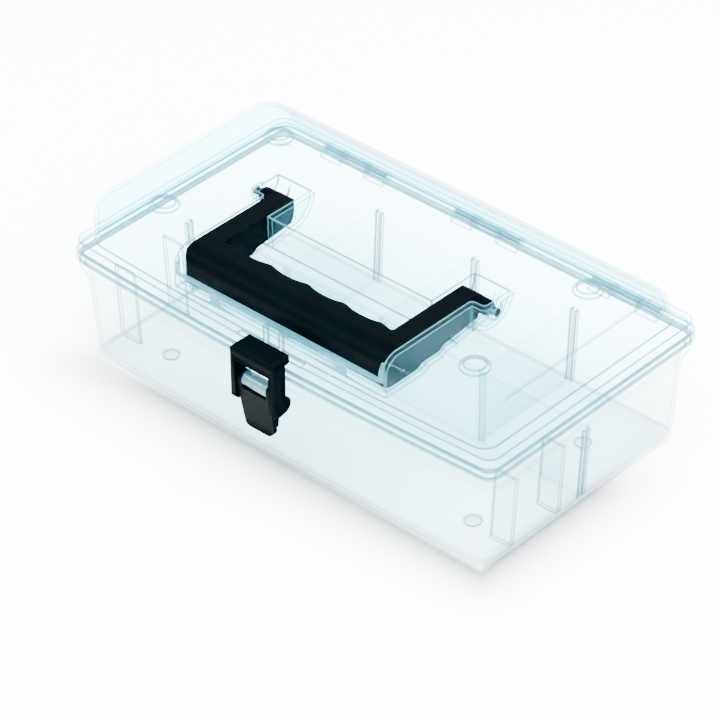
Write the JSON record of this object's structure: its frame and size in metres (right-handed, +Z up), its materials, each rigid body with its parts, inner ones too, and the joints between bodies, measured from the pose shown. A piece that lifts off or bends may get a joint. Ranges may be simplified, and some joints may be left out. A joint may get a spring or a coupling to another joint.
{
  "type": "assortment case",
  "caption": "Clear case with a hinged domed lid, compartments, a sunk folding handle and a dark over-centre latch.",
  "frame": {"origin": "middle of the case's whole box in plan, on the surface that it stands on", "axes": "+X along the case to the right as seen from the latch, +Y from the latch to the hinges, +Z up"},
  "size_m": [0.29, 0.1846, 0.099],
  "materials": {
    "clear_plastic": "clear, polished",
    "dark_plastic": "satin, moulded",
    "steel": "drawn wire"
  },
  "bodies": {
    "tub_body": {"tub": "clear_plastic", "hinge_pin_left": "steel", "hinge_pin_centre": "steel", "hinge_pin_right": "steel", "long_divider": "clear_plastic", "cross_divider_left": "clear_plastic", "cross_divider_centre": "clear_plastic", "cross_divider_right": "clear_plastic"},
    "lid_body": {"lid": "clear_plastic"},
    "handle_body": {"handle": "dark_plastic"},
    "lever_body": {"latch_lever": "dark_plastic"},
    "hook_body": {"latch_hook": "dark_plastic"}
  },
  "joints": [
    {"name": "lid_hinge", "type": "hinge", "parent": "tub_body", "child": "lid_body", "pos_m": [0, 0.08905, 0.0626], "axis": [-1, 0, 0], "range_deg": [0, 110]},
    {"name": "handle_hinge", "type": "hinge", "parent": "lid_body", "child": "handle_body", "pos_m": [0, -0.00055, 0.094], "axis": [-1, 0, 0], "range_deg": [0, 125]},
    {"name": "lever_hinge", "type": "hinge", "parent": "tub_body", "child": "lever_body", "pos_m": [0, -0.08705, 0.0572], "axis": [-1, 0, 0], "range_deg": [0, 100]},
    {"name": "hook_hinge", "type": "hinge", "parent": "lever_body", "child": "hook_body", "pos_m": [0, -0.08545, 0.0502], "axis": [-1, 0, 0], "range_deg": [-120, 0]}
  ],
  "couplings": [
    {"joint": "hook_hinge", "follows": "lever_hinge", "ratio": -1.2}
  ]
}
